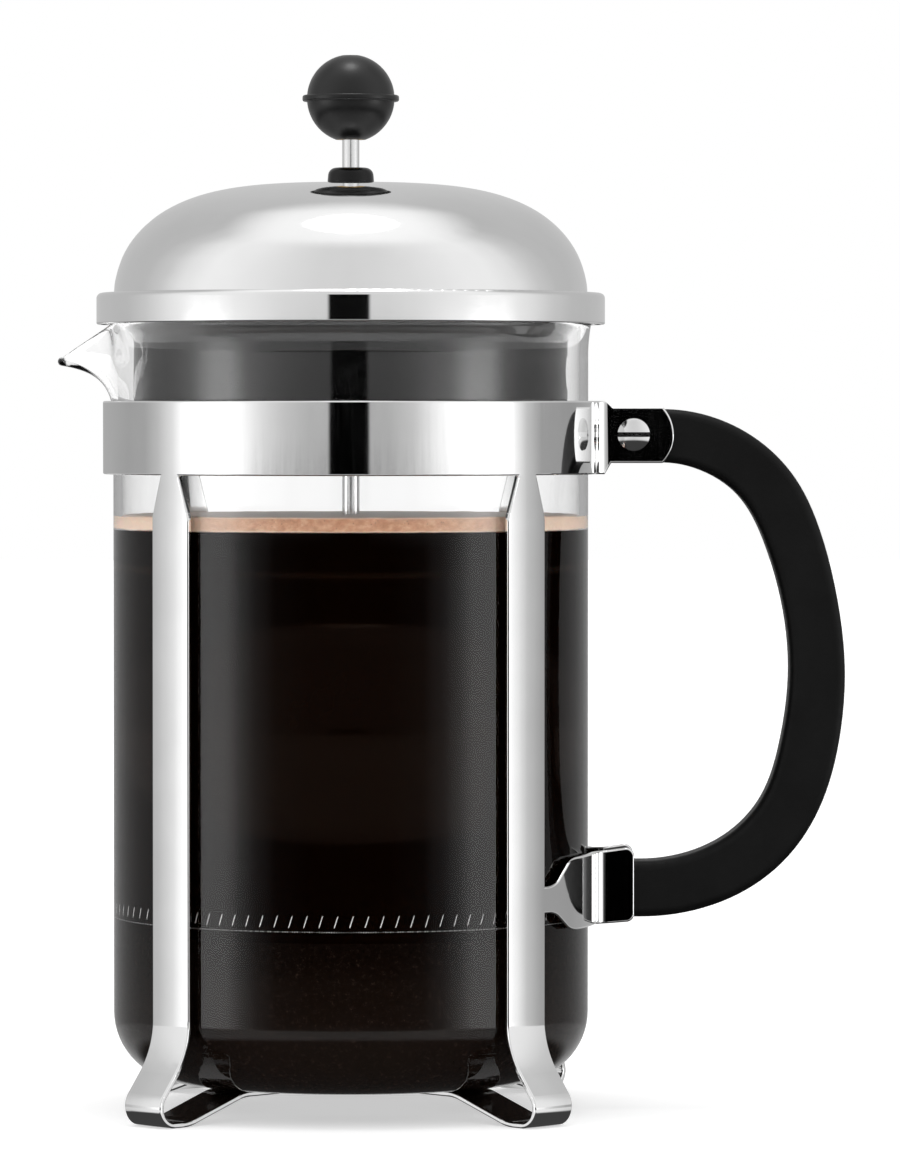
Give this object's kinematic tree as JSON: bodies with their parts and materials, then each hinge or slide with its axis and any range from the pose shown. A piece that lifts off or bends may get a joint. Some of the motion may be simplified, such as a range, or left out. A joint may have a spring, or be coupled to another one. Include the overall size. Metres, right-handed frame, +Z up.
{
  "type": "french press",
  "caption": "Glass coffee press with a pouring spout, a domed steel lid, a sliding filter plunger, a steel frame on legs and a side handle.",
  "frame": {"origin": "on the beaker's axis, on the plane that the four feet stand on", "axes": "+Z up along the beaker's axis, +X towards the handle, -X towards the spout"},
  "size_m": [0.1835, 0.1184, 0.2454],
  "materials": {
    "frame_steel": "polished, with soft rolled edges",
    "lid_steel": "polished, slightly satin",
    "handle_plastic": "fine matte grain",
    "fastener_steel": "bright",
    "beaker_glass": "clear, fire-polished brim",
    "guard_plastic": "glossy black",
    "guide_plastic": "glossy black",
    "knob_plastic": "satin black",
    "insert_brass": "machined",
    "rod_steel": "drawn, bright",
    "filter_steel": "stamped, bright",
    "mesh_steel": "fine woven mesh"
  },
  "bodies": {
    "frame": {"frame_band": "frame_steel", "base_plate": "frame_steel", "lower_bracket_front": "frame_steel", "lower_bracket_back": "frame_steel", "leg_front_right": "frame_steel", "leg_back_right": "frame_steel", "leg_back_left": "frame_steel", "leg_front_left": "frame_steel", "handle": "handle_plastic", "handle_screw": "fastener_steel", "handle_nut": "fastener_steel"},
    "beaker": {"glass_beaker": "beaker_glass"},
    "lid_core": {"rod_guide": "guide_plastic", "guide_nut": "guide_plastic"},
    "lid_shell": {"lid_dome": "lid_steel", "splash_guard": "guard_plastic"},
    "plunger": {"plunger_rod": "rod_steel", "knob": "knob_plastic", "knob_insert": "insert_brass", "rod_collar": "rod_steel", "spiral_plate": "filter_steel", "edge_coil": "filter_steel", "mesh_screen": "mesh_steel", "cross_plate": "filter_steel", "rod_nut": "rod_steel"}
  },
  "joints": [
    {"name": "beaker_lift", "type": "slide", "parent": "frame", "child": "beaker", "axis": [0, 0, 1], "range_m": [0, 0.19]},
    {"name": "lid_lift", "type": "slide", "parent": "beaker", "child": "lid_core", "axis": [0, 0, 1], "range_m": [0, 0.16]},
    {"name": "lid_turn", "type": "hinge", "parent": "lid_core", "child": "lid_shell", "pos_m": [0, 0, 0.2162], "axis": [0, 0, 1], "continuous": true},
    {"name": "plunger_press", "type": "slide", "parent": "lid_core", "child": "plunger", "axis": [0, 0, 1], "range_m": [-0.006, 0.1147]}
  ]
}
